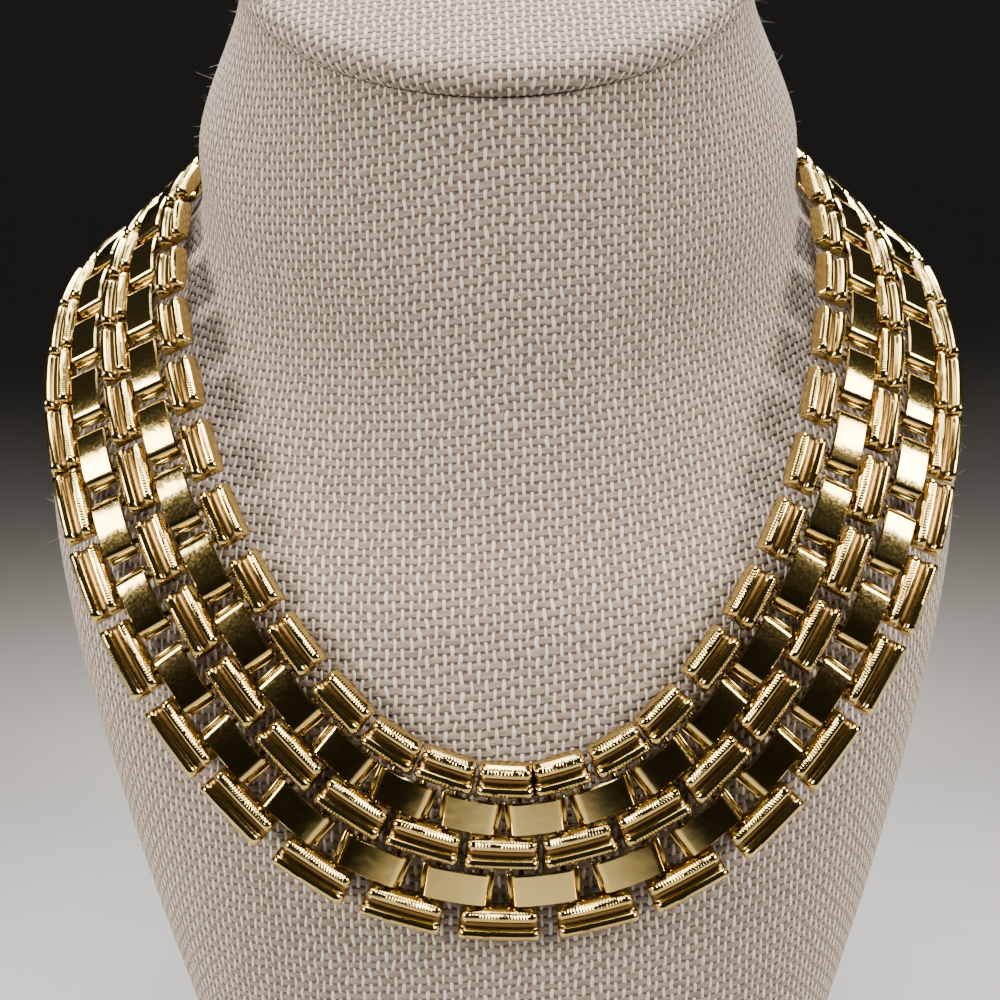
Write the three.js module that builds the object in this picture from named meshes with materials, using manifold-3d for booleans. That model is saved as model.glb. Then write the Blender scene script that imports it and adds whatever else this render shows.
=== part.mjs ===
// Collar choker necklace on a linen-covered neck bust, in millimetres, +Z up, front towards -Y.
//
// The collar is five rows of links in a brick pattern. A column of three ribbed links and a column of
// two smooth links take turns along the band, and straight pins across the band hinge one to the next.
// Every ribbed column is one solid with its two pins and the smooth column on its front side, because
// its links are riveted on those pins. A plain box clasp closes the loop at the nape.
import * as THREE from 'three';
import { mergeVertices } from 'three/addons/utils/BufferGeometryUtils.js';
import Module from 'manifold-3d';

const wasm = await Module();
wasm.setup();

const { cos, sin, abs, sign, min } = Math;
const UP = new THREE.Vector3(0, 0, 1);

// ---------------------------------------------------------------- driving dimensions

const lastColumn = 18; // ribbed columns run from -18 to 18, with 0 at the front
const columnsPerStation = 2;
const turn = -0.19; // the collar sits turned round the neck by this part of a column

const rowPitch = 5.4; // from one row of links to the next, across the band
const clearance = 0.6; // left between one link and the next in its row

const ribbed = {
  width: 4.7,
  thickness: 3.2,
  ridgeSpread: 1.3, // from the middle of the link to the top of a ridge
  grooveDepth: 0.95,
  shoulderDepth: 1.0,
  endTuck: 0.9, // length of the rounded stretch at each end
  endDrop: 1.2, // how far the ridges come down at the ends
  footTuck: 0.6, // how far each end slants in under the link, which lets the band bend
};
const ribbedRows = [
  { across: -2 * rowPitch, length: 8.8 },
  { across: 0, length: 10.3 },
  { across: 2 * rowPitch, length: 11.4 },
];

const smooth = {
  width: 4.2,
  length: 9.1,
  shoulder: -0.5, // the top of the plate, below the ridges of the ribbed links
  shoulderAt: 3.2,
  wallTop: -1.2,
  roof: -1.1, // underside of the arched plate
  foot: -2.9,
  hubStart: 1.5, // the riveted end is solid from here to its end wall
};
const smoothRows = [-rowPitch, rowPitch];

const pin = { radius: 0.65, depth: -2.2, sides: 4, halfSpan: 12.4, offset: 0.25 };

const clasp = { width: 26.6, length: 11.0, top: -0.3, bottom: -2.9, bevel: 0.6, tongueReach: 9.6 };

// The line along the tops of the links, from the front to the nape on the wearer's left. One row every
// two columns. tilt is how far the band's face leans back from upright, in degrees.
const halfStations = [
  { x: 0.0, y: -60.1, z: 75.0, tilt: 3.0 },
  { x: 21.4, y: -57.9, z: 80.5, tilt: 12.5 },
  { x: 38.3, y: -51.1, z: 95.2, tilt: 28.0 },
  { x: 50.9, y: -40.6, z: 113.5, tilt: 45.0 },
  { x: 58.6, y: -27.1, z: 131.7, tilt: 55.5 },
  { x: 62.9, y: -10.1, z: 147.2, tilt: 58.0 },
  { x: 62.6, y: 10.1, z: 159.5, tilt: 56.0 },
  { x: 53.2, y: 29.8, z: 167.9, tilt: 54.0 },
  { x: 35.2, y: 44.9, z: 172.6, tilt: 46.0 },
  { x: 12.2, y: 52.6, z: 174.6, tilt: 36.0 },
];

// Rings of the bust from its base to its cap. Each ring lies in a plane that leans by tilt degrees,
// rising to the back. z and y place its middle, side, front and back are its half sizes, and round is
// the power of its curve: 2 is an ellipse, and more is squarer.
const bustRings = [
  { z: 0, y: -20.6, tilt: 0, side: 46.8, front: 31.9, back: 54.1, round: 2.45 },
  { z: 30, y: -16.7, tilt: 4, side: 53.8, front: 38.5, back: 59.1, round: 2.45 },
  { z: 57, y: -12.8, tilt: 9, side: 61.3, front: 44.5, back: 63.4, round: 2.4 },
  { z: 83, y: -8.9, tilt: 15, side: 67.8, front: 49.1, back: 66.3, round: 2.36 },
  { z: 105, y: -5.1, tilt: 22, side: 72.9, front: 52.2, back: 67.1, round: 2.28 },
  { z: 123, y: -1.6, tilt: 28, side: 75.4, front: 54.8, back: 65.1, round: 2.17 },
  { z: 137, y: 0.6, tilt: 33, side: 74.3, front: 56.0, back: 57.6, round: 2.0 },
  { z: 149, y: 3.7, tilt: 36, side: 61.8, front: 52.6, back: 49.0, round: 1.86 },
  { z: 161, y: 4.0, tilt: 36, side: 50.2, front: 47.0, back: 45.0, round: 1.78 },
  { z: 175, y: 2.3, tilt: 35, side: 48.6, front: 42.3, back: 44.0, round: 1.82 },
  { z: 191, y: 0.8, tilt: 34, side: 41.7, front: 38.1, back: 44.6, round: 1.95 },
  { z: 202, y: -0.4, tilt: 33, side: 39.2, front: 35.8, back: 44.4, round: 2.0 },
];
const bustSides = 30;
const bustLevelsPerRing = 2;

const gold = new THREE.MeshStandardMaterial({ color: 0xd9bd72, roughness: 0.22, metalness: 1 });
const linen = new THREE.MeshStandardMaterial({ color: 0xa89c92, roughness: 0.95, metalness: 0 });

// ---------------------------------------------------------------- tables and frames

// One smooth curve through each named column of a table, at a place counted in rows.
function rowAt(table, place, closed) {
  const count = table.length;
  const start = closed ? Math.floor(place) : min(Math.floor(place), count - 2);
  const t = place - start;
  const pick = (i) => table[closed ? ((i % count) + count) % count : THREE.MathUtils.clamp(i, 0, count - 1)];
  const [a, b, c, d] = [pick(start - 1), pick(start), pick(start + 1), pick(start + 2)];
  const row = {};
  for (const name of Object.keys(b)) {
    const bend = 2 * a[name] - 5 * b[name] + 4 * c[name] - d[name];
    const twist = 3 * b[name] - a[name] - 3 * c[name] + d[name];
    row[name] = b[name] + 0.5 * t * (c[name] - a[name] + t * (bend + t * twist));
  }
  return row;
}

const mirrored = halfStations.slice(1).reverse().map((row) => ({ ...row, x: -row.x }));
const stations = [...halfStations, ...mirrored];

// The band's own axes at a column: along the loop, across to the outer edge, and out from the neck.
function bandFrame(column) {
  const step = 0.05;
  const place = (column + turn) / columnsPerStation;
  const here = rowAt(stations, place, true);
  const ahead = rowAt(stations, place + step, true);
  const behind = rowAt(stations, place - step, true);
  const along = new THREE.Vector3(ahead.x - behind.x, ahead.y - behind.y, ahead.z - behind.z).normalize();
  const level = along.clone().cross(UP).normalize();
  const lean = THREE.MathUtils.degToRad(here.tilt);
  const upright = level.clone().cross(along);
  const out = level.multiplyScalar(cos(lean)).addScaledVector(upright, sin(lean)).normalize();
  const across = along.clone().cross(out);
  return { middle: new THREE.Vector3(here.x, here.y, here.z), across };
}

function bandPoint(column, across) {
  const frame = bandFrame(column);
  return frame.middle.addScaledVector(frame.across, across);
}

// The shorter way to the next link in the same row, at a line across the band.
function rowStep(column, across) {
  const here = bandPoint(column, across);
  return min(...[-1, 1].map((step) => here.distanceTo(bandPoint(column + step, across))));
}

// Places a shape drawn with x across the band, y along it and z out from it.
function linkMatrix(column, across) {
  const { middle, across: acrossAxis } = bandFrame(column);
  const near = 0.1;
  const reach = bandPoint(column + near, across).sub(bandPoint(column - near, across));
  const alongAxis = reach.addScaledVector(acrossAxis, -reach.dot(acrossAxis)).normalize();
  const outAxis = acrossAxis.clone().cross(alongAxis);
  const place = middle.addScaledVector(acrossAxis, across);
  return new THREE.Matrix4().makeBasis(acrossAxis, alongAxis, outAxis).setPosition(place);
}

// ---------------------------------------------------------------- solids

// A closed skin over a row of outlines that all have the same number of points. Each outline is a list
// of Vector3, counter-clockwise when it is seen from the last outline towards the first.
function loft(outlines, capTriangles) {
  const count = outlines[0].length;
  const positions = outlines.flat().flatMap((p) => [p.x, p.y, p.z]);
  const index = [];
  for (let level = 0; level + 1 < outlines.length; level += 1) {
    for (let i = 0; i < count; i += 1) {
      const a = level * count + i;
      const b = level * count + ((i + 1) % count);
      index.push(a, b, b + count, a, b + count, a + count);
    }
  }
  const top = (outlines.length - 1) * count;
  for (const [a, b, c] of capTriangles) {
    index.push(c, b, a);
    index.push(top + a, top + b, top + c);
  }
  const geometry = new THREE.BufferGeometry();
  geometry.setAttribute('position', new THREE.Float32BufferAttribute(positions, 3));
  geometry.setIndex(index);
  return geometry;
}

function toSolid(geometry) {
  const bare = geometry.clone();
  bare.deleteAttribute('normal');
  bare.deleteAttribute('uv');
  const merged = mergeVertices(bare, 1e-5);
  const vertProperties = Float32Array.from(merged.attributes.position.array);
  const triVerts = Uint32Array.from(merged.index.array);
  return new wasm.Manifold(new wasm.Mesh({ numProp: 3, vertProperties, triVerts }));
}

function fromSolid(solid) {
  const mesh = solid.getMesh();
  const geometry = new THREE.BufferGeometry();
  geometry.setAttribute('position', new THREE.BufferAttribute(mesh.vertProperties, 3));
  geometry.setIndex(new THREE.BufferAttribute(mesh.triVerts, 1));
  geometry.computeVertexNormals();
  return geometry;
}

function joined(geometries) {
  return fromSolid(geometries.map(toSolid).reduce((whole, solid) => whole.add(solid)));
}

function named(name, geometry, material) {
  const mesh = new THREE.Mesh(geometry, material);
  mesh.name = name;
  return mesh;
}

// ---------------------------------------------------------------- links, pins and clasp

// Two ridges with a groove between them, over a plain body, rounded down at both ends. splay is how much
// each half of the link lengthens for every millimetre towards the outer edge of the band.
function ribbedLink(length, splay) {
  const { width, thickness, ridgeSpread, grooveDepth, shoulderDepth, endTuck, endDrop, footTuck } = ribbed;
  const half = width / 2;
  const section = [
    [-half, -thickness],
    [half, -thickness],
    [half, -shoulderDepth],
    [ridgeSpread, 0],
    [0, -grooveDepth],
    [-ridgeSpread, 0],
    [-half, -shoulderDepth],
  ];
  const outline = (way, tuck, drop) => section.map(([x, z]) => {
    const isFoot = z === -thickness;
    const along = length / 2 + splay * x - (isFoot ? tuck + footTuck : tuck);
    return new THREE.Vector3(x, way * along, isFoot ? z : z - drop);
  });
  const outlines = [
    outline(1, 0, endDrop),
    outline(1, endTuck, 0),
    outline(-1, endTuck, 0),
    outline(-1, 0, endDrop),
  ];
  const flat = section.map(([x, z]) => new THREE.Vector2(x, z));
  return loft(outlines, THREE.ShapeUtils.triangulateShape(flat, []));
}

// An arched plate whose one end is a solid hub on its own pin, and whose other end laps over the next
// column's pin without touching it. facing is 1 where the hub is at the far end along the band.
function smoothLink(length, facing) {
  const { width, shoulder, shoulderAt, wallTop, roof, foot, hubStart } = smooth;
  const end = length / 2;
  const profile = [
    [end, foot],
    [end, wallTop],
    [shoulderAt, shoulder],
    [-shoulderAt, shoulder],
    [-end, wallTop],
    [-shoulderAt, roof],
    [hubStart, roof],
    [hubStart, foot],
  ];
  const shape = new THREE.Shape(profile.map(([y, z]) => new THREE.Vector2(y * facing, z)));
  const plate = new THREE.ExtrudeGeometry(shape, { depth: width, bevelEnabled: false });
  const turned = new THREE.Matrix4().set(0, 0, 1, -width / 2, 1, 0, 0, 0, 0, 1, 0, 0, 0, 0, 0, 1);
  return plate.applyMatrix4(turned);
}

function hingePin() {
  const rod = new THREE.CylinderGeometry(pin.radius, pin.radius, 2 * pin.halfSpan, pin.sides);
  return rod.rotateZ(Math.PI / 2).translate(0, 0, pin.depth);
}

// One ribbed column with its two pins, and the smooth column between it and the column in front of it.
function linkColumn(column) {
  const pieces = ribbedRows.map(({ across, length }) => {
    const fitted = min(length, rowStep(column, across) - clearance);
    const splay = (rowStep(column, across + 1) - rowStep(column, across - 1)) / 4;
    return ribbedLink(fitted, splay).applyMatrix4(linkMatrix(column, across));
  });
  for (const side of [-pin.offset, pin.offset]) {
    pieces.push(hingePin().applyMatrix4(linkMatrix(column + side, 0)));
  }
  const facing = sign(column);
  if (facing !== 0) {
    const between = column - 0.5 * facing;
    for (const across of smoothRows) {
      const fitted = min(smooth.length, rowStep(between, across - smooth.width / 2) - clearance);
      pieces.push(smoothLink(fitted, facing).applyMatrix4(linkMatrix(between, across)));
    }
  }
  return joined(pieces);
}

function plainBox(width, length, bottom, top) {
  return new THREE.BoxGeometry(width, length, top - bottom).translate(0, 0, (top + bottom) / 2);
}

// A box with bevelled long edges, and two tongues each way that lap over the end columns' pins.
function boxClasp() {
  const half = clasp.width / 2;
  const { top, bottom, bevel, length } = clasp;
  const outline = new THREE.Shape([
    new THREE.Vector2(-half, bottom),
    new THREE.Vector2(half, bottom),
    new THREE.Vector2(half, top - bevel),
    new THREE.Vector2(half - bevel, top),
    new THREE.Vector2(bevel - half, top),
    new THREE.Vector2(-half, top - bevel),
  ]);
  const body = new THREE.ExtrudeGeometry(outline, { depth: length, bevelEnabled: false });
  body.rotateX(Math.PI / 2).translate(0, length / 2, 0);
  const tongues = smoothRows.map((across) =>
    plainBox(smooth.width, 2 * clasp.tongueReach, smooth.roof, smooth.shoulder).translate(across, 0, 0));
  const placed = [body, ...tongues].map((piece) => piece.applyMatrix4(linkMatrix(lastColumn + 1, 0)));
  return joined(placed);
}

// ---------------------------------------------------------------- bust

function bustRing({ z, y, tilt, side, front, back, round }) {
  const lean = THREE.MathUtils.degToRad(tilt);
  const points = [];
  for (let i = 0; i < bustSides; i += 1) {
    const angle = (2 * Math.PI * i) / bustSides;
    const depth = sin(angle) > 0 ? back : front;
    const across = side * sign(cos(angle)) * abs(cos(angle)) ** (2 / round);
    const along = depth * sign(sin(angle)) * abs(sin(angle)) ** (2 / round);
    points.push(new THREE.Vector3(across, y + along * cos(lean), z + along * sin(lean)));
  }
  return points;
}

function neckBust() {
  const outlines = [];
  const levels = (bustRings.length - 1) * bustLevelsPerRing;
  for (let level = 0; level <= levels; level += 1) {
    outlines.push(bustRing(rowAt(bustRings, level / bustLevelsPerRing, false)));
  }
  const cap = [];
  for (let i = 1; i + 1 < bustSides; i += 1) {
    cap.push([0, i, i + 1]);
  }
  return loft(outlines, cap);
}

// ---------------------------------------------------------------- assembly

const part = new THREE.Group();
part.add(named('neck_bust', neckBust(), linen));
for (let column = -lastColumn; column <= lastColumn; column += 1) {
  const side = ['right', 'front', 'left'][sign(column) + 1];
  const number = column === 0 ? '' : `_${String(abs(column)).padStart(2, '0')}`;
  part.add(named(`link_column_${side}${number}`, linkColumn(column), gold));
}
part.add(named('box_clasp', boxClasp(), gold));

export default part;
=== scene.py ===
"""Looks of a collar choker necklace on a linen neck bust.

Shapes are worked out in millimetres in the part's own frame, +Z up and front towards -Y, and become
metres where a mesh is made. The collar's line and the bust's rings are those of the CAD part.
"""

import math

import bpy
import numpy as np
from mathutils import Matrix, Vector


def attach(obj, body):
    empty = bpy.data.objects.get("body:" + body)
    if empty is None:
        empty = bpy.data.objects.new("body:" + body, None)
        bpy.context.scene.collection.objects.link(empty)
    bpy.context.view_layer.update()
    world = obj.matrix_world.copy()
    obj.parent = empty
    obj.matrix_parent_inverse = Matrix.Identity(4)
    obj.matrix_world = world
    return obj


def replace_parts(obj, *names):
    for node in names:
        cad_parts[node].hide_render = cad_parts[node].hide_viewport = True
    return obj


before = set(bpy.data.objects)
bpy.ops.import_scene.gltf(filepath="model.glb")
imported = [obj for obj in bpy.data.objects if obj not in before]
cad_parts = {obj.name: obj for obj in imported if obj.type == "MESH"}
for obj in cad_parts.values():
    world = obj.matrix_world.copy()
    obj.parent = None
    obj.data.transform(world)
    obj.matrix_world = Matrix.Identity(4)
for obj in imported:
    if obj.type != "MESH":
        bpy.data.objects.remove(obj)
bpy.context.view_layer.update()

# ---------------------------------------------------------------- driving dimensions, in millimetres

MM = 0.001

LAST_COLUMN = 18
COLUMNS_PER_STATION = 2
TURN = -0.19
ROW_PITCH = 5.4
CLEARANCE = 0.35
NEAR = 0.1  # a short way along the band, in columns, which gives a link its direction

RIBBED_ROWS = {
    "inner": {"across": -2 * ROW_PITCH, "length": 8.8},
    "middle": {"across": 0.0, "length": 10.3},
    "outer": {"across": 2 * ROW_PITCH, "length": 11.4},
}
SMOOTH_ROWS = {"inner": -ROW_PITCH, "outer": ROW_PITCH}

RIBBED = {
    "width": 4.95,
    "ridge_offset": 1.36,
    "ridge_radius": 0.84,
    "groove_depth": 0.86,
    "skirt_top": 1.25,
    "foot": 2.45,
    "skirt_bow": 0.45,  # how much deeper the side skirt hangs in the middle of the link
    "crown": 0.28,  # rise of the link's arched top over its length
    "end_radius": 1.05,
    "mill_pitch": 0.45,
    "mill_depth": 0.17,
    "mill_slope": 0.5,  # how far the milling slants, along the band for each step across it
    "mill_lean": 0.6,  # how much of the milling's depth is cut in from the side
    "groove_edge": 0.36,
    "skirt_step": 0.15,
    "foot_tuck": 0.55,
    "foot_rise": 0.12,
    "curl_inset": 1.3,
    "curl_narrower": 0.9,
}
SMOOTH = {
    "width": 4.85,
    "length": 9.3,
    "top": 0.42,
    "crown": 0.42,
    "shoulder_radius": 1.15,
    "thickness": 0.5,
    "leg_end": 2.25,
    "edge": 0.2,
    "mill_pitch": 0.5,
    "mill_depth": 0.15,
    "rim": 0.75,  # depth of the plate's chamfered rim, as a share of its width
    "gap": 1.1,
    "curl_outset": 0.35,
}
CURL = {"radius": 0.44, "narrower": 0.3, "below_leg": 0.1}
PIN = {"radius": 0.45, "depth": 2.1, "half_span": 12.6, "offset": 0.25}
CLASP = {"width": 26.4, "length": 10.8, "top": 0.35, "bottom": 2.85, "bevel": 0.7}
TONGUE = {"width": 4.2, "length": 19.0, "top": 0.6, "bottom": 1.15, "bevel": 0.2}
CATCH = {"radius": 0.45, "end_inset": 1.5, "edge_inset": 1.6}
BLOCK_CORNER = 0.8
BLOCK_CHAMFER = 0.25

# How recessed the parts are, from 0 on the open polished faces to 1 deep in a groove, which sets how much
# painted shade darkens the gold.
PIN_SHADE = 0.5
RIBBED_CURL_SHADE = 0.45
SMOOTH_CURL_SHADE = 0.35
TONGUE_SHADE = 0.2

# The line along the tops of the links, from the front to the nape: x, y, z, tilt in degrees.
HALF_STATIONS = np.array([
    (0.0, -60.1, 75.0, 3.0),
    (21.4, -57.9, 80.5, 12.5),
    (38.3, -51.1, 95.2, 28.0),
    (50.9, -40.6, 113.5, 45.0),
    (58.6, -27.1, 131.7, 55.5),
    (62.9, -10.1, 147.2, 58.0),
    (62.6, 10.1, 159.5, 56.0),
    (53.2, 29.8, 167.9, 54.0),
    (35.2, 44.9, 172.6, 46.0),
    (12.2, 52.6, 174.6, 36.0),
])

# Rings of the bust: z, y, tilt in degrees, side, front, back, round.
BUST_RINGS = np.array([
    (0, -20.6, 0, 46.8, 31.9, 54.1, 2.45),
    (30, -16.7, 4, 53.8, 38.5, 59.1, 2.45),
    (57, -12.8, 9, 61.3, 44.5, 63.4, 2.4),
    (83, -8.9, 15, 67.8, 49.1, 66.3, 2.36),
    (105, -5.1, 22, 72.9, 52.2, 67.1, 2.28),
    (123, -1.6, 28, 75.4, 54.8, 65.1, 2.17),
    (137, 0.6, 33, 74.3, 56.0, 57.6, 2.0),
    (149, 3.7, 36, 61.8, 52.6, 49.0, 1.86),
    (161, 4.0, 36, 50.2, 47.0, 45.0, 1.78),
    (175, 2.3, 35, 48.6, 42.3, 44.0, 1.82),
    (191, 0.8, 34, 41.7, 38.1, 44.6, 1.95),
    (202, -0.4, 33, 39.2, 35.8, 44.4, 2.0),
])
CAP_PLACE = 10.5  # where the cap is sewn on, counted in rings
BUST_SIDES = 168
LEVELS_PER_RING = 9

# The cap's edge as (inset, height) above the seam, out over the neck and round onto its top.
CAP_EDGE = [
    (0.9, 0.0),
    (0.1, 0.35),
    (-0.35, 1.0),
    (-0.4, 1.8),
    (0.0, 2.7),
    (0.8, 3.5),
    (2.0, 4.1),
    (4.0, 4.5),
]
CAP_DOME = 0.9
CAP_REACH = 42  # half the cap's breadth, which its insets are measured against
CAP_DOME_SHARES = (0.88, 0.75, 0.6, 0.45, 0.3, 0.15, 0.02)

# The linen turned in at the base as (inset, height), and the insets of its lip under the cap.
BASE_REACH = 50  # half the base's breadth, which these insets are measured against
BASE_TURN = [(1.6, 0.0), (0.6, 0.35), (0.1, 1.1)]
LIP_INSETS = (0.25, 1.2)
BACK_SEAM = {"width": 1.4, "depth": 0.5}

FUZZ = {
    "seed": 7,
    "neck_strands": 2600,
    "cap_strands": 300,
    "lowest": 6,
    "band_gap": 17,  # no fibre starts this near the middle of the band
    "scatter": 0.7,
    "root_depth": 0.25,
    "shortest": 0.5,
    "longest": 1.8,
    "radius": 0.03,
    "sides": 3,
}

WARP_PITCH = 1.2
WEFT_PITCH = 1.35
GRAIN_LEAN = math.radians(4.5)  # the linen is cut a little off the straight


# ---------------------------------------------------------------- tables and frames


def row_at(table, place, closed):
    """One smooth curve through each column of a table, at a place counted in rows."""
    count = len(table)
    start = math.floor(place) if closed else min(math.floor(place), count - 2)
    t = place - start
    spots = [start - 1, start, start + 1, start + 2]
    a, b, c, d = (table[i % count if closed else max(0, min(count - 1, i))] for i in spots)
    return b + 0.5 * t * (c - a + t * (2 * a - 5 * b + 4 * c - d + t * (3 * b - a - 3 * c + d)))


STATIONS = np.vstack([HALF_STATIONS, HALF_STATIONS[:0:-1] * (-1, 1, 1, 1)])


def unit(vector):
    """The same direction with a length of one."""
    return vector / np.linalg.norm(vector)


def band_frame(column):
    """The band's middle line and its direction towards the outer edge, at a column."""
    step = 0.05
    place = (column + TURN) / COLUMNS_PER_STATION
    here = row_at(STATIONS, place, True)
    ahead = row_at(STATIONS, place + step, True)
    behind = row_at(STATIONS, place - step, True)
    along = unit(ahead[:3] - behind[:3])
    level = unit(np.cross(along, (0, 0, 1)))
    lean = math.radians(here[3])
    out = unit(level * math.cos(lean) + np.cross(level, along) * math.sin(lean))
    return here[:3], np.cross(along, out)


def band_point(column, across):
    """A point on the band, at a column and a distance across it from its middle line."""
    middle, direction = band_frame(column)
    return middle + direction * across


def row_step(column, across):
    """How far the nearer of the next columns is from this one, along a row."""
    here = band_point(column, across)
    return min(np.linalg.norm(band_point(column + step, across) - here) for step in (-1, 1))


def place_link(points, column, across):
    """Moves points drawn with x across the band, y along it and z out from it to their place."""
    middle, x_axis = band_frame(column)
    reach = band_point(column + NEAR, across) - band_point(column - NEAR, across)
    y_axis = unit(reach - x_axis * reach.dot(x_axis))
    z_axis = np.cross(x_axis, y_axis)
    return points @ np.array([x_axis, y_axis, z_axis]) + middle + x_axis * across


# ---------------------------------------------------------------- mesh code


class Shape:
    """Points, faces and how recessed each point is, which sets its painted shade; several small shapes are
    added to it.
    """

    def __init__(self):
        self.points, self.faces, self.recess, self.count = [], [], [], 0

    def add(self, points, faces, recess):
        self.points.append(points)
        self.faces.extend([[i + self.count for i in face] for face in faces])
        self.recess.append(np.broadcast_to(recess, len(points)))
        self.count += len(points)


def skin_faces(levels, around):
    """Faces of a closed skin over a row of outlines, with a cap at each end."""
    faces = []
    for level in range(levels - 1):
        for i in range(around):
            a = level * around + i
            b = level * around + (i + 1) % around
            faces.append((a, b, b + around, a + around))
    top = (levels - 1) * around
    faces.append(tuple(range(around - 1, -1, -1)))
    faces.append(tuple(range(top, top + around)))
    return faces


def bar(radius, half_length, y, z, sides=10, dome=0.25):
    """A round bar across the band with slightly domed ends."""
    end, shoulder, end_share = half_length, half_length - dome, 0.6
    rings = [(-end, end_share), (-shoulder, 1.0), (shoulder, 1.0), (end, end_share)]
    angles = np.arange(sides) * 2 * math.pi / sides
    outlines = []
    for x, share in rings:
        reach = radius * share
        outlines.append(np.column_stack([
            np.full(sides, x), y + reach * np.cos(angles), z + reach * np.sin(angles)
        ]))
    return np.vstack(outlines), skin_faces(len(rings), sides)


def make_piece(name, shape, material, smooth_angle=38):
    """One object of a shape, on the body root, with its recess values, which set the painted shade, as a
    point attribute.
    """
    mesh = bpy.data.meshes.new(name)
    mesh.from_pydata((np.vstack(shape.points) * MM).tolist(), [], shape.faces)
    recess = mesh.attributes.new("recess", "FLOAT", "POINT")
    recess.data.foreach_set("value", np.concatenate(shape.recess).astype(np.float32))
    mesh.shade_smooth()
    mesh.set_sharp_from_angle(angle=math.radians(smooth_angle))
    piece = bpy.data.objects.new(name, mesh)
    bpy.context.scene.collection.objects.link(piece)
    mesh.materials.append(material)
    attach(piece, "root")
    return piece


# ---------------------------------------------------------------- links


def ribbed_section():
    """Half-round ridges beside a flat groove, over an upright skirt: x, z, milling, recess (which sets
    painted shade).
    """
    r, offset = RIBBED["ridge_radius"], RIBBED["ridge_offset"]
    half = RIBBED["width"] / 2
    skirt, foot = -RIBBED["skirt_top"], -RIBBED["foot"]
    ridge = []
    for degrees in (-84, -58, -34, -12, 8, 26, 44, 62, 82):
        angle = math.radians(degrees)
        milling = 1.0 if 20 < degrees < 70 else 0.0
        recess = 0.5 if degrees == -84 else 0.0
        ridge.append((offset + r * math.sin(angle), r * math.cos(angle) - r, milling, recess))
    # The recess values here set painted shade: full on the groove floor and the tucked-under foot, part way
    # on the ridge's inner edge and the skirt.
    right = [(RIBBED["groove_edge"], -RIBBED["groove_depth"], 0.0, 1.0), *ridge]
    right.append((half - 0.08, skirt + RIBBED["skirt_step"], 0.0, 0.3))
    right.append((half, skirt, 0.0, 0.2))
    right.append((half, foot, 0.0, 0.6))
    right.append((half - RIBBED["foot_tuck"], foot - RIBBED["foot_rise"], 0.0, 1.0))
    left = [(-x, z, milling, recess) for x, z, milling, recess in reversed(right)]
    return np.array(left + right)


def ribbed_link(length, splay):
    """One ribbed link with rounded, dropped ends, its outer side splayed to follow the bend."""
    section = ribbed_section()
    x, z, milling, recess = section.T
    radius = RIBBED["end_radius"]
    flat = length / 2 - radius
    notches = max(8, round(2 * flat / RIBBED["mill_pitch"]))
    middle = [(y, 0.0) for y in np.linspace(-flat, flat, 3 * notches + 1)]
    turn = [math.radians(degrees) for degrees in (22, 42, 60, 76, 90)]
    ends = [(flat + radius * math.sin(a), radius * (1 - math.cos(a))) for a in turn]
    stations = [(-y, drop) for y, drop in reversed(ends)] + middle + ends
    outlines = []
    for y, drop in stations:
        share = y / (length / 2)
        phase = (y + RIBBED["mill_slope"] * np.abs(x)) / RIBBED["mill_pitch"] % 1.0
        cut = RIBBED["mill_depth"] * milling * np.abs(2 * phase - 1) * (drop == 0)
        top = z - drop - RIBBED["crown"] * share**2
        floor = -RIBBED["foot"] - RIBBED["skirt_bow"] * (1 - share**2)
        foot = floor - RIBBED["foot_rise"] * (z < -RIBBED["foot"])
        above = np.maximum(top - cut, floor + RIBBED["skirt_step"])
        height = np.where(z <= -RIBBED["foot"], foot, above)
        side = x - np.sign(x) * cut * RIBBED["mill_lean"]
        stretch = 1 + splay * x / (length / 2)
        outlines.append(np.column_stack([side, y * stretch, height]))
    return np.vstack(outlines), skin_faces(len(outlines), len(x)), np.tile(recess, len(outlines))


def smooth_profile(length):
    """The outside of the bent plate from its foot at one end to its foot at the other: y, depth."""
    radius = SMOOTH["shoulder_radius"]
    half = length / 2
    flat = half - radius
    sag = SMOOTH["crown"]
    steps = 2 * round(2 * flat / SMOOTH["mill_pitch"])
    top = [(y, SMOOTH["top"] + sag * (y / half) ** 2) for y in np.linspace(-flat, flat, steps + 1)]
    shoulder = top[-1][1]
    side = []
    for degrees in (18, 36, 54, 72, 90):
        angle = math.radians(degrees)
        side.append((flat + radius * math.sin(angle), shoulder + radius * (1 - math.cos(angle))))
    side.append((half + 0.02, SMOOTH["leg_end"]))
    return [(-y, depth) for y, depth in reversed(side)] + top + side


def smooth_link(length):
    """One plate bent down at both ends, with chamfered rims that are finely serrated."""
    half = SMOOTH["width"] / 2
    edge, thickness = SMOOTH["edge"], SMOOTH["thickness"]
    profile = smooth_profile(length)
    outlines, recess = [], []
    for i, (y, depth) in enumerate(profile):
        before = np.array(profile[max(i - 1, 0)])
        after = np.array(profile[min(i + 1, len(profile) - 1)])
        run, fall = unit(after - before)
        notch = SMOOTH["mill_depth"] * (i % 2)
        rim = edge * SMOOTH["rim"] + notch
        left = [(-half, thickness), (-half, rim), (edge - half, 0.0)]
        spots = left + [(-x, inset) for x, inset in reversed(left)]
        outlines.append([(x, y - fall * inset, -depth - run * inset) for x, inset in spots])
        # The plate's underside gets full painted shade, its top and rims none.
        recess.append([1.0, 0.0, 0.0, 0.0, 0.0, 1.0])
    return np.vstack(outlines), skin_faces(len(outlines), len(spots)), np.concatenate(recess)


def add_curls(shape, length, width, column, across, recess):
    """The rolled feet under both ends of a link, each round a hinge pin, with painted shade at the given
    recess.
    """
    half_width = (width - CURL["narrower"]) / 2
    z = -SMOOTH["leg_end"] - CURL["below_leg"]
    for way in (-1, 1):
        points, faces = bar(CURL["radius"], half_width, way * length / 2, z)
        shape.add(place_link(points, column, across), faces, recess)


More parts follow.
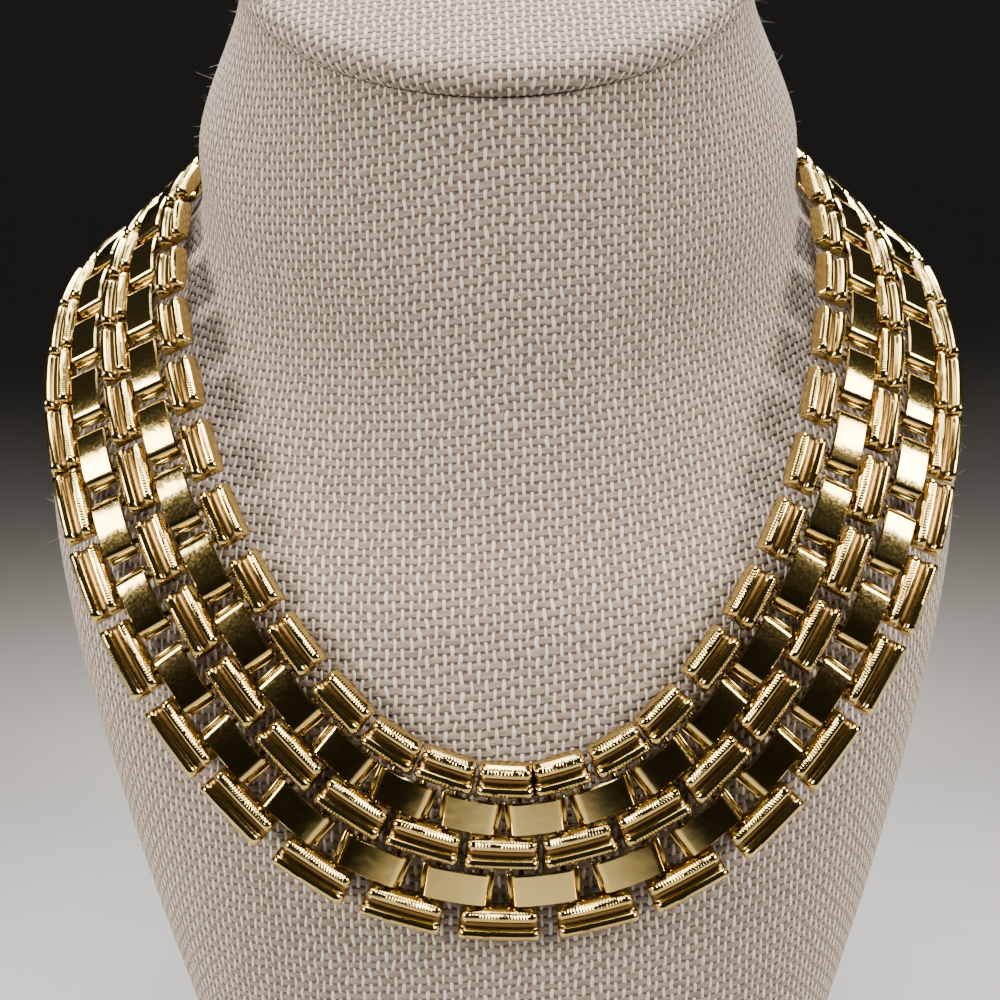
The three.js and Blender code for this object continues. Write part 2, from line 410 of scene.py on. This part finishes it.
def ribbed_row(name, row, material):
    """One row of ribbed links round the whole collar, front link included."""
    shape = Shape()
    across = row["across"]
    curl_width = RIBBED["width"] - RIBBED["curl_narrower"]
    for column in range(-LAST_COLUMN, LAST_COLUMN + 1):
        length = min(row["length"], row_step(column, across) - CLEARANCE)
        splay = (row_step(column, across + 1) - row_step(column, across - 1)) / 4
        points, faces, recess = ribbed_link(length, splay)
        shape.add(place_link(points, column, across), faces, recess)
        curl_length = length - RIBBED["curl_inset"]
        add_curls(shape, curl_length, curl_width, column, across, RIBBED_CURL_SHADE)
    return make_piece(name, shape, material)


def smooth_row(name, across, material):
    """One row of smooth plates, half a column out of step with the ribbed links."""
    shape = Shape()
    inner_side = across - SMOOTH["width"] / 2
    for column in range(1, LAST_COLUMN + 1):
        for place in (column - 0.5, 0.5 - column):
            length = min(SMOOTH["length"], row_step(place, inner_side) - SMOOTH["gap"])
            points, faces, recess = smooth_link(length)
            shape.add(place_link(points, place, across), faces, recess)
            curl_length = length + SMOOTH["curl_outset"]
            add_curls(shape, curl_length, SMOOTH["width"], place, across, SMOOTH_CURL_SHADE)
    return make_piece(name, shape, material)


def hinge_pins(material):
    """Two pins through every ribbed column, which the curled feet turn on."""
    shape = Shape()
    for column in range(-LAST_COLUMN, LAST_COLUMN + 1):
        for side in (-PIN["offset"], PIN["offset"]):
            points, faces = bar(PIN["radius"], PIN["half_span"], 0.0, -PIN["depth"])
            shape.add(place_link(points, column + side, 0.0), faces, PIN_SHADE)
    return make_piece("hinge_pins", shape, material)


def rounded_block(width, length, top, bottom, bevel):
    """A block whose upper edges are rounded over, and whose lower edges have a small chamfer."""
    turns = [math.radians(degrees) for degrees in (0, 30, 60, 90)]
    levels = [(BLOCK_CHAMFER, -bottom), (0.0, BLOCK_CHAMFER - bottom)]
    levels += [(bevel * (1 - math.cos(a)), -top - bevel * (1 - math.sin(a))) for a in turns]
    outlines = []
    for inset, z in levels:
        x = width / 2 - inset - BLOCK_CORNER
        y = length / 2 - inset - BLOCK_CORNER
        outline = []
        for cx, cy, start in ((1, 1, 0), (-1, 1, 90), (-1, -1, 180), (1, -1, 270)):
            for step in (0, 30, 60, 90):
                angle = math.radians(start + step)
                corner_x = BLOCK_CORNER * math.cos(angle)
                corner_y = BLOCK_CORNER * math.sin(angle)
                outline.append((cx * x + corner_x, cy * y + corner_y, z))
        outlines.append(outline)
    return np.vstack(outlines), skin_faces(len(outlines), len(outline))


def box_clasp(material):
    """The clasp's plate at the nape, its tongues under the smooth rows and its catch bar."""
    shape = Shape()
    column = LAST_COLUMN + 1
    points, faces = rounded_block(**CLASP)
    shape.add(place_link(points, column, 0.0), faces, 0.0)
    for across in SMOOTH_ROWS.values():
        points, faces = rounded_block(**TONGUE)
        shape.add(place_link(points + (across, 0, 0), column, 0.0), faces, TONGUE_SHADE)
    half_length = CLASP["width"] / 2 - CATCH["end_inset"]
    y = CLASP["length"] / 2 - CATCH["edge_inset"]
    points, faces = bar(CATCH["radius"], half_length, y, -CLASP["top"])
    shape.add(place_link(points, column, 0.0), faces, 0.0)
    return make_piece("box_clasp_plate", shape, material)


# ---------------------------------------------------------------- bust


def bust_ring(row):
    """One ring from the back, round by the front, to the back again, so that its ends meet."""
    z, y, tilt, side, front, back, power = row
    angle = math.pi / 2 + np.linspace(0, 2 * math.pi, BUST_SIDES + 1)
    c, s = np.cos(angle), np.sin(angle)
    across = side * np.sign(c) * np.abs(c) ** (2 / power)
    depth = np.where(s > 0, back, front) * np.sign(s) * np.abs(s) ** (2 / power)
    lean = math.radians(tilt)
    return np.column_stack([across, y + depth * math.cos(lean), z + depth * math.sin(lean)])


def lengths_along(points, axis):
    """How far each point of a grid lies from the first one, counted along one of its two ways."""
    steps = np.linalg.norm(np.diff(points, axis=axis), axis=2)
    start = np.zeros_like(np.take(steps, [0], axis=axis))
    return np.cumsum(np.concatenate([start, steps], axis=axis), axis=axis)


def open_grid_faces(levels, around):
    """Faces of a sheet of points, left open at its edges."""
    faces = []
    for level in range(levels - 1):
        for i in range(around - 1):
            a = level * around + i
            faces.append((a, a + 1, a + around + 1, a + around))
    return faces


def cloth_piece(name, grid, cloth, material, caps=()):
    """A skin of linen with the thread coordinates, in millimetres, in its UV map."""
    levels, around = grid.shape[:2]
    shape = Shape()
    shape.add(grid.reshape(-1, 3), open_grid_faces(levels, around) + list(caps), 0.0)
    piece = make_piece(name, shape, material, smooth_angle=75)
    layer = piece.data.uv_layers.new(name="cloth")
    corner = np.zeros(len(piece.data.loops), np.int32)
    piece.data.loops.foreach_get("vertex_index", corner)
    layer.data.foreach_set("uv", cloth.reshape(-1, 2)[corner].astype(np.float32).ravel())
    return piece


def neck_cover(material):
    """The linen over the bust, sewn up the back and turned in at the base and under the cap."""
    steps = np.linspace(0, CAP_PLACE, round(CAP_PLACE * LEVELS_PER_RING))
    grid = np.array([bust_ring(row_at(BUST_RINGS, place, False)) for place in steps])
    middle = grid.mean(axis=1, keepdims=True)
    foot = grid[0] - middle[0]
    base = [middle[0] + foot * (1 - inset / BASE_REACH) + (0, 0, h) for inset, h in BASE_TURN]
    rim = grid[-1] - middle[-1]
    lip = [middle[-1] + rim * (1 - inset / CAP_REACH) for inset in LIP_INSETS]
    grid = np.concatenate([np.array(base), grid[1:], np.array(lip)])
    around = lengths_along(grid, 1)
    u = around - around[:, [BUST_SIDES // 2]]
    up = lengths_along(grid, 0)
    v = 0.5 * up + 0.5 * up[:, [BUST_SIDES // 2]] - u * math.tan(GRAIN_LEAN)
    from_seam = np.abs(u) - np.abs(u).max(axis=1, keepdims=True)
    seam = np.exp(-((from_seam / BACK_SEAM["width"]) ** 2))
    middle = grid.mean(axis=1, keepdims=True)
    outward = (grid - middle) / np.linalg.norm(grid - middle, axis=2, keepdims=True)
    grid = grid - BACK_SEAM["depth"] * seam[..., None] * outward
    bottom = tuple(range(BUST_SIDES - 1, -1, -1))
    return cloth_piece("linen_neck_cover", grid, np.stack([u, v], axis=2), material, [bottom])


def cap_cover(material):
    """The stiff oval cap under its linen, its edge rolled over the neck's seam."""
    row = row_at(BUST_RINGS, CAP_PLACE, False)
    ring = bust_ring(row)
    lean = math.radians(row[2])
    normal = np.array([0, -math.sin(lean), math.cos(lean)])
    middle = np.array([0, row[1], row[0]])
    shrink = [1 - inset / CAP_REACH for inset, _ in CAP_EDGE]
    heights = [height for _, height in CAP_EDGE]
    last = shrink[-1]
    for share in CAP_DOME_SHARES:
        shrink.append(last * share)
        heights.append(CAP_EDGE[-1][1] + CAP_DOME * (1 - share**2))
    grid = np.array([middle + (ring - middle) * s + normal * h for s, h in zip(shrink, heights)])
    slope = np.array([0, math.cos(lean), math.sin(lean)])
    flat = np.stack([(grid - middle)[..., 0], (grid - middle) @ slope], axis=2)
    down = lengths_along(grid[::-1], 0)[::-1] + np.linalg.norm(flat[-1], axis=1)
    flat *= (down / np.linalg.norm(flat, axis=2))[..., None]
    u = flat[..., 0]
    v = flat[..., 1] - u * math.tan(GRAIN_LEAN)
    return cloth_piece("linen_cap", grid, np.stack([u, v], axis=2), material)


def linen_fuzz(covers, material):
    """Loose fibre ends that stand off the linen, seeded so that every run gives the same ones."""
    rng = np.random.default_rng(FUZZ["seed"])
    columns = np.linspace(-LAST_COLUMN - 1, LAST_COLUMN + 1, 4 * LAST_COLUMN + 5)
    band = np.array([band_point(column, 0) for column in columns])
    shape = Shape()
    sides = FUZZ["sides"]
    spin = np.arange(sides) * 2 * math.pi / sides
    for cover, strands in covers:
        mesh = cover.data
        co = np.zeros(len(mesh.vertices) * 3, np.float32)
        mesh.vertices.foreach_get("co", co)
        co = co.reshape(-1, 3) / MM
        for index in rng.integers(BUST_SIDES * 3, len(co), strands):
            from_band = np.linalg.norm(band - co[index], axis=1).min()
            if co[index][2] < FUZZ["lowest"] or from_band < FUZZ["band_gap"]:
                continue
            normal = np.array(mesh.vertices[index].normal)
            start = co[index] + rng.normal(0, FUZZ["scatter"], 3)
            start -= normal * (np.dot(start - co[index], normal) + FUZZ["root_depth"])
            bend = unit(normal * 0.7 + rng.normal(0, 0.6, 3))
            reach = rng.uniform(FUZZ["shortest"], FUZZ["longest"])
            curl = rng.normal(0, 0.5, 3)
            a = unit(np.cross(bend, (0.3, 0.2, 0.9)))
            b = np.cross(bend, a)
            outlines = []
            for share in (0.0, 0.35, 0.7, 1.0):
                centre = start + reach * (bend * share + curl * share**2)
                thick = FUZZ["radius"] * (1 - 0.6 * share)
                ring = np.outer(np.cos(spin), a) + np.outer(np.sin(spin), b)
                outlines.append(centre + thick * ring)
            shape.add(np.vstack(outlines), skin_faces(len(outlines), sides), 0.0)
    return make_piece("linen_fuzz", shape, material)


# ---------------------------------------------------------------- materials


def linear(hexcode):
    """An sRGB hex colour as the linear RGBA that Blender's sockets hold."""
    channels = [int(hexcode[i : i + 2], 16) / 255 for i in (0, 2, 4)]
    return (*[c / 12.92 if c <= 0.04045 else ((c + 0.055) / 1.055) ** 2.4 for c in channels], 1.0)


def add_node(tree, kind, inputs=None, **settings):
    """Adds a node with its settings, and fills its inputs with values or other nodes' outputs."""
    made = tree.nodes.new(kind)
    for name, value in settings.items():
        setattr(made, name, value)
    for key, value in (inputs or {}).items():
        if isinstance(value, bpy.types.NodeSocket):
            tree.links.new(value, made.inputs[key])
        else:
            made.inputs[key].default_value = value
    return made


def new_material(name):
    """A material with its node tree and its shader."""
    material = bpy.data.materials.new(name)
    material.use_nodes = True
    tree = material.node_tree
    return material, tree, tree.nodes["Principled BSDF"]


def polished_gold_plate():
    """Gold flashed over stamped and polished brass: a clear mirror, with painted shade that turns it
    browner in its grooves and under the links, with faint polishing waves and handling marks that make some
    patches a little duller."""
    material, tree, shader = new_material("polished gold plate on stamped brass")
    spot = add_node(tree, "ShaderNodeTexCoord").outputs["Object"]
    patches = add_node(tree, "ShaderNodeTexNoise", {"Vector": spot, "Scale": 90.0, "Detail": 3.0})
    waves = add_node(tree, "ShaderNodeTexNoise", {"Vector": spot, "Scale": 420.0, "Detail": 2.0})
    marks = add_node(tree, "ShaderNodeTexNoise", {"Vector": spot, "Scale": 2600.0, "Detail": 4.0})
    recess = add_node(tree, "ShaderNodeAttribute", attribute_name="recess").outputs["Fac"]
    plate = add_node(
        tree, "ShaderNodeMix",
        {"Factor": patches.outputs["Fac"], "A": linear("d0b162"), "B": linear("dfc780")},
        data_type="RGBA",
    )
    # Painted shade: the recess values darken the plate towards brown in grooves, on undersides and on parts
    # that lie under the links.
    painted_groove_shade = add_node(
        tree, "ShaderNodeMix",
        {"Factor": recess, "A": plate.outputs["Result"], "B": linear("74582f")},
        data_type="RGBA",
    )
    dull = add_node(
        tree, "ShaderNodeMapRange",
        {"Value": marks.outputs["Fac"], "From Min": 0.35, "From Max": 0.75, "To Min": 0.07, "To Max": 0.15},
    )
    rough = add_node(
        tree, "ShaderNodeMath", {0: recess, 1: 0.2, 2: dull.outputs["Result"]}, operation="MULTIPLY_ADD"
    )
    bump = add_node(
        tree, "ShaderNodeBump", {"Height": waves.outputs["Fac"], "Strength": 0.25, "Distance": 0.12 * MM}
    )
    tree.links.new(painted_groove_shade.outputs["Result"], shader.inputs["Base Color"])
    tree.links.new(rough.outputs[0], shader.inputs["Roughness"])
    tree.links.new(bump.outputs["Normal"], shader.inputs["Normal"])
    shader.inputs["Metallic"].default_value = 1.0
    return material


def plain_woven_linen():
    """Undyed linen in a plain weave: fat heathered weft threads with thin off-white warp threads over and
    under them, so the eye reads level rows of grey-beige with pale ticks between, and painted shade darkens
    the low places between the threads."""
    material, tree, shader = new_material("plain-woven undyed linen")
    cloth = add_node(tree, "ShaderNodeUVMap", uv_map="cloth").outputs["UV"]
    drift = add_node(tree, "ShaderNodeTexNoise", {"Vector": cloth, "Scale": 0.3, "Detail": 4.0})
    shift = add_node(
        tree, "ShaderNodeVectorMath",
        {0: drift.outputs["Color"], 1: (1.3, 1.3, 0.0), 2: cloth}, operation="MULTIPLY_ADD",
    )
    axes = add_node(tree, "ShaderNodeSeparateXYZ", {"Vector": shift.outputs["Vector"]})
    turns = {}
    for name, pitch in (("X", WARP_PITCH), ("Y", WEFT_PITCH)):
        angle = add_node(
            tree, "ShaderNodeMath", {0: axes.outputs[name], 1: math.pi / pitch}, operation="MULTIPLY"
        )
        wave = add_node(tree, "ShaderNodeMath", {0: angle.outputs[0]}, operation="SINE").outputs[0]
        way = add_node(tree, "ShaderNodeMath", {0: wave}, operation="SIGN").outputs[0]
        size = add_node(tree, "ShaderNodeMath", {0: wave}, operation="ABSOLUTE").outputs[0]
        turns[name] = (wave, way, size)
    # Each thread rides over one crossing thread and under the next, and is round across its width.
    # A row holds its own wave, the crossing one's, its sway, where its rounding starts and ends, its body.
    threads = {
        "warp": ("X", "Y", 0.35, 0.55, 1.0, 1.2),
        "weft": ("Y", "X", -0.35, 0.1, 0.85, 0.9),
    }
    heights = {}
    for name, (own, other, sway, low, high, body) in threads.items():
        ride = add_node(
            tree, "ShaderNodeMath", {0: turns[own][1], 1: turns[other][0]}, operation="MULTIPLY"
        )
        ride = add_node(tree, "ShaderNodeMath", {0: ride.outputs[0], 1: sway}, operation="MULTIPLY")
        round_top = add_node(
            tree, "ShaderNodeMapRange",
            {"Value": turns[own][2], "From Min": low, "From Max": high, "To Min": -body, "To Max": 0.0},
            interpolation_type="SMOOTHSTEP",
        )
        heights[name] = add_node(
            tree, "ShaderNodeMath", {0: ride.outputs[0], 1: round_top.outputs["Result"]}, operation="ADD"
        ).outputs[0]
    surface = add_node(
        tree, "ShaderNodeMath", {0: heights["warp"], 1: heights["weft"]}, operation="MAXIMUM"
    ).outputs[0]
    warp_lead = add_node(
        tree, "ShaderNodeMath", {0: heights["warp"], 1: heights["weft"]}, operation="SUBTRACT"
    )
    on_warp = add_node(
        tree, "ShaderNodeMapRange", {"Value": warp_lead.outputs[0], "From Min": -0.05, "From Max": 0.12}
    )
    strand = add_node(
        tree, "ShaderNodeMapping", {"Vector": shift.outputs["Vector"], "Scale": (0.35, 1.6, 1.0)}
    )
    heather = add_node(
        tree, "ShaderNodeTexNoise", {"Vector": strand.outputs["Vector"], "Scale": 1.0, "Detail": 5.0}
    )
    fibre = add_node(
        tree, "ShaderNodeMapping", {"Vector": shift.outputs["Vector"], "Scale": (2.0, 9.0, 1.0)}
    )
    fibres = add_node(
        tree, "ShaderNodeTexNoise", {"Vector": fibre.outputs["Vector"], "Scale": 1.0, "Detail": 3.0}
    )
    tone = add_node(
        tree, "ShaderNodeMapRange", {"Value": heather.outputs["Fac"], "From Min": 0.3, "From Max": 0.7}
    )
    weft_colour = add_node(
        tree, "ShaderNodeMix",
        {"Factor": tone.outputs["Result"], "A": linear("77675a"), "B": linear("a59484")}, data_type="RGBA",
    )
    thread_colour = add_node(
        tree, "ShaderNodeMix",
        {"Factor": on_warp.outputs["Result"], "A": weft_colour.outputs["Result"], "B": linear("d8d0c6")},
        data_type="RGBA",
    )
    # Painted shade: where the thread surface lies low, in the gaps and towards each thread's rounded edges,
    # the colour is darkened towards a deep brown.
    depth = add_node(
        tree, "ShaderNodeMapRange", {"Value": surface, "From Min": -0.75, "From Max": -0.15}
    )
    colour = add_node(
        tree, "ShaderNodeMix",
        {"Factor": depth.outputs["Result"], "A": linear("5b4c40"), "B": thread_colour.outputs["Result"]},
        data_type="RGBA",
    )
    relief = add_node(
        tree, "ShaderNodeMath", {0: fibres.outputs["Fac"], 1: 0.25, 2: surface}, operation="MULTIPLY_ADD"
    )
    bump = add_node(
        tree, "ShaderNodeBump", {"Height": relief.outputs[0], "Strength": 0.9, "Distance": 0.3 * MM}
    )
    tree.links.new(colour.outputs["Result"], shader.inputs["Base Color"])
    tree.links.new(bump.outputs["Normal"], shader.inputs["Normal"])
    shader.inputs["Roughness"].default_value = 0.92
    shader.inputs["Sheen Weight"].default_value = 0.15
    return material


def loose_linen_fibre():
    """Raw flax fibre ends: pale and matt, with a little colour difference from one to the next."""
    material, tree, shader = new_material("loose flax fibre")
    spot = add_node(tree, "ShaderNodeTexCoord").outputs["Object"]
    noise = add_node(tree, "ShaderNodeTexNoise", {"Vector": spot, "Scale": 400.0})
    colour = add_node(
        tree, "ShaderNodeMix",
        {"Factor": noise.outputs["Fac"], "A": linear("b9aca0"), "B": linear("e8e2da")}, data_type="RGBA",
    )
    tree.links.new(colour.outputs["Result"], shader.inputs["Base Color"])
    shader.inputs["Roughness"].default_value = 0.9
    return material


def matt_paper():
    """Matt backdrop paper: an even pale grey that gives no highlight."""
    material, tree, shader = new_material("matt backdrop paper")
    spot = add_node(tree, "ShaderNodeTexCoord").outputs["Object"]
    grain = add_node(tree, "ShaderNodeTexNoise", {"Vector": spot, "Scale": 40.0, "Detail": 4.0})
    colour = add_node(
        tree, "ShaderNodeMix",
        {"Factor": grain.outputs["Fac"], "A": linear("b2b0ae"), "B": linear("b8b6b4")}, data_type="RGBA",
    )
    tree.links.new(colour.outputs["Result"], shader.inputs["Base Color"])
    shader.inputs["Roughness"].default_value = 0.95
    return material


# ---------------------------------------------------------------- stage


def add_camera():
    """A camera above the collar's front that looks down on it by 15 degrees."""
    look_down, yaw, roll = math.radians(15), math.radians(0.6), math.radians(-1.03)
    reach = math.cos(look_down)
    ahead = Vector((math.sin(yaw) * reach, math.cos(yaw) * reach, -math.sin(look_down)))
    level = Vector((math.cos(yaw), -math.sin(yaw), 0))
    up = level.cross(ahead)
    right = level * math.cos(roll) + up * math.sin(roll)
    top = up * math.cos(roll) - level * math.sin(roll)
    data = bpy.data.cameras.new("camera")
    data.sensor_width = 36
    data.lens = 50.4
    data.clip_start = 0.01
    camera = bpy.data.objects.new("camera", data)
    camera.matrix_world = Matrix((right, top, -ahead)).transposed().to_4x4()
    camera.location = Vector((-3.3, -235.7, 173.8)) * MM
    bpy.context.scene.collection.objects.link(camera)
    bpy.context.scene.camera = camera


def add_light(name, place, target, size, power, spread, colour):
    """A rectangular softbox at a place, in metres, that faces a target."""
    data = bpy.data.lights.new(name, "AREA")
    data.shape = "RECTANGLE"
    data.size, data.size_y = size
    data.energy = power
    data.spread = math.radians(spread)
    data.color = linear(colour)[:3]
    light = bpy.data.objects.new(name, data)
    light.location = place
    light.rotation_euler = (Vector(target) - Vector(place)).to_track_quat("-Z", "Y").to_euler()
    bpy.context.scene.collection.objects.link(light)


def add_stage():
    """A pale round floor that sweeps up into a backdrop, four soft lights and a dim grey world."""
    mesh = bpy.data.meshes.new("floor")
    middle, flat, sweep, sides = 0.3, 1.4, 1.1, 64
    levels = [(middle, 0.0)]
    for a in np.radians(np.arange(0, 91, 7.5)):
        levels.append((flat + sweep * math.sin(a), sweep * (1 - math.cos(a))))
    around = np.arange(sides) * 2 * math.pi / sides
    circle = np.column_stack([np.cos(around), np.sin(around), np.zeros(sides)])
    rings = [circle * radius + (0, 0, z) for radius, z in levels]
    mesh.from_pydata(np.vstack(rings).tolist(), [], skin_faces(len(rings), sides)[:-1])
    mesh.shade_smooth()
    floor = bpy.data.objects.new("floor", mesh)
    bpy.context.scene.collection.objects.link(floor)
    mesh.materials.append(matt_paper())
    chest = (0, -0.03, 0.12)
    add_light("overhead softbox", (0.0, 0.0, 0.8), chest, (0.5, 0.32), 0.85, 48, "fffaf2")
    add_light("left softbox", (-0.65, -0.35, 0.45), chest, (0.25, 0.4), 1.0, 46, "fff6ea")
    add_light("right softbox", (0.65, -0.3, 0.5), chest, (0.25, 0.4), 1.0, 46, "fff6ea")
    add_light("back softbox", (0.0, 0.4, 0.85), chest, (0.6, 0.25), 1.0, 30, "f4f7ff")
    world = bpy.data.worlds.new("studio")
    world.use_nodes = True
    world.node_tree.nodes["Background"].inputs["Color"].default_value = linear("8a8885")
    world.node_tree.nodes["Background"].inputs["Strength"].default_value = 0.13
    bpy.context.scene.world = world


# ---------------------------------------------------------------- assembly

gold = polished_gold_plate()
linen = plain_woven_linen()
link_nodes = [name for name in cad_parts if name.startswith("link_column_")]

for row_name, row in RIBBED_ROWS.items():
    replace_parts(ribbed_row(f"ribbed_links_{row_name}", row, gold), *link_nodes)
for row_name, across in SMOOTH_ROWS.items():
    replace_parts(smooth_row(f"smooth_links_{row_name}", across, gold), *link_nodes)
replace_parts(hinge_pins(gold), *link_nodes)
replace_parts(box_clasp(gold), "box_clasp")

neck = neck_cover(linen)
cap = cap_cover(linen)
covers = [(neck, FUZZ["neck_strands"]), (cap, FUZZ["cap_strands"])]
fuzz = linen_fuzz(covers, loose_linen_fibre())
for cover in (neck, cap, fuzz):
    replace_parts(cover, "neck_bust")

add_camera()
add_stage()
